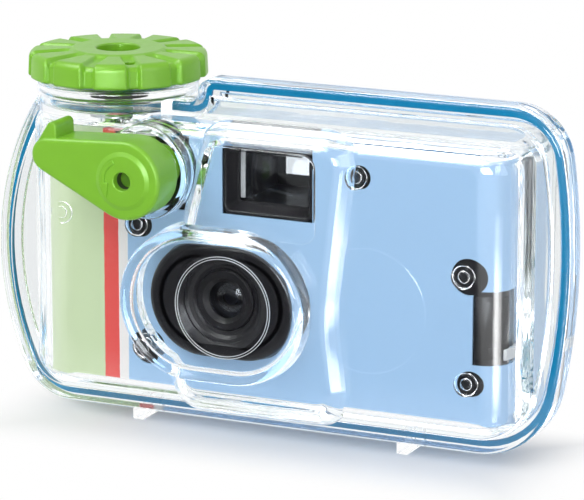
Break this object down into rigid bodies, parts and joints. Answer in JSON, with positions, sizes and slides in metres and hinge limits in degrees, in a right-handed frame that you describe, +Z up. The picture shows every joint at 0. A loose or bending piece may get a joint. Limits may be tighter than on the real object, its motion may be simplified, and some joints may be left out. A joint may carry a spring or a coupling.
{
  "type": "disposable film camera",
  "caption": "Single-use film camera boxed in card inside a clear two-shell waterproof case, with a top wind knob, a front shutter lever and a raised lens port",
  "frame": {"origin": "middle of the overall box, on the plane the two feet stand on", "axes": "+X along the length, to the right seen from the front; the lens looks along -Y; +Z up, along the wind knob's axis"},
  "size_m": [0.13, 0.051, 0.0786],
  "materials": {
    "clear_shell": "clear, polished",
    "gasket_blue": "satin",
    "green_plastic": "semi-gloss",
    "bright_steel": "plain",
    "dark_steel": "dark",
    "black_rubber": "matte",
    "printed_card": "coated card",
    "black_plastic": "fine texture",
    "clear_lens": "clear, polished",
    "painted_tin": "gloss",
    "film_base": "gloss",
    "grey_plastic": "satin",
    "white_plastic": "satin"
  },
  "bodies": {
    "case": {"front_shell": "clear_shell", "rear_shell": "clear_shell", "shell_gasket": "gasket_blue", "lever_spring": "bright_steel", "shutter_spring": "bright_steel", "button_spring": "bright_steel", "shaft_seal": "black_rubber", "lever_seal": "black_rubber", "card_wrap": "printed_card", "front_cover": "black_plastic", "rear_cover": "black_plastic", "main_body": "black_plastic", "lens_board": "black_plastic", "lens_retainer": "black_plastic", "aperture_plate": "black_plastic", "taking_lens": "clear_lens", "finder_front_lens": "clear_lens", "finder_rear_lens": "clear_lens", "film_cartridge": "painted_tin", "film_strip": "film_base"},
    "wind": {"wind_knob": "green_plastic", "knob_screw": "dark_steel", "wind_shaft": "green_plastic", "shaft_clip": "bright_steel", "wind_wheel": "black_plastic", "cartridge_spool": "black_plastic"},
    "lever": {"shutter_lever": "green_plastic", "lever_shaft": "green_plastic", "release_arm": "green_plastic", "arm_screw": "bright_steel"},
    "button": {"shutter_button": "black_plastic"},
    "blade": {"shutter_blade": "bright_steel"},
    "sprocket": {"sprocket_wheel": "white_plastic"},
    "supply": {"supply_spool": "grey_plastic", "film_roll": "film_base"},
    "counter": {"counter_disc": "white_plastic"},
    "pawl": {"wind_pawl": "white_plastic"}
  },
  "joints": [
    {"name": "wind_turn", "type": "hinge", "parent": "case", "child": "wind", "pos_m": [-0.04025, 0.0065, 0.0728], "axis": [0, 0, 1], "continuous": true},
    {"name": "lever_press", "type": "hinge", "parent": "case", "child": "lever", "pos_m": [-0.02325, -0.0155, 0.0574], "axis": [0, -1, 0], "range_deg": [0, 20], "stiffness_Nm_per_rad": 0.1, "springref_deg": -5.73},
    {"name": "button_press", "type": "slide", "parent": "case", "child": "button", "axis": [0, 0, -1], "range_m": [0, 0.0026]},
    {"name": "blade_swing", "type": "hinge", "parent": "case", "child": "blade", "pos_m": [0.00115, -0.0045, 0.0338], "axis": [0, -1, 0], "range_deg": [0, 35], "stiffness_Nm_per_rad": 0.001, "springref_deg": -5.73},
    {"name": "sprocket_turn", "type": "hinge", "parent": "case", "child": "sprocket", "pos_m": [0.01785, 0.0122, 0.0453], "axis": [0, 0, 1], "continuous": true},
    {"name": "supply_turn", "type": "hinge", "parent": "case", "child": "supply", "pos_m": [0.03885, 0.0081, 0.0308], "axis": [0, 0, 1], "continuous": true},
    {"name": "counter_turn", "type": "hinge", "parent": "case", "child": "counter", "pos_m": [0.03485, 0.0055, 0.0615], "axis": [0, 0, 1], "continuous": true},
    {"name": "pawl_click", "type": "hinge", "parent": "case", "child": "pawl", "pos_m": [-0.02785, 0.011, 0.0602], "axis": [0, 0, 1], "range_deg": [0, 6], "stiffness_Nm_per_rad": 0.0005, "springref_deg": -2.86}
  ],
  "couplings": [
    {"joint": "button_press", "follows": "lever_press", "m_per_rad": 0.00744},
    {"joint": "sprocket_turn", "follows": "wind_turn", "ratio": 1.454},
    {"joint": "supply_turn", "follows": "wind_turn", "ratio": 0.695},
    {"joint": "counter_turn", "follows": "wind_turn", "ratio": -0.036}
  ]
}
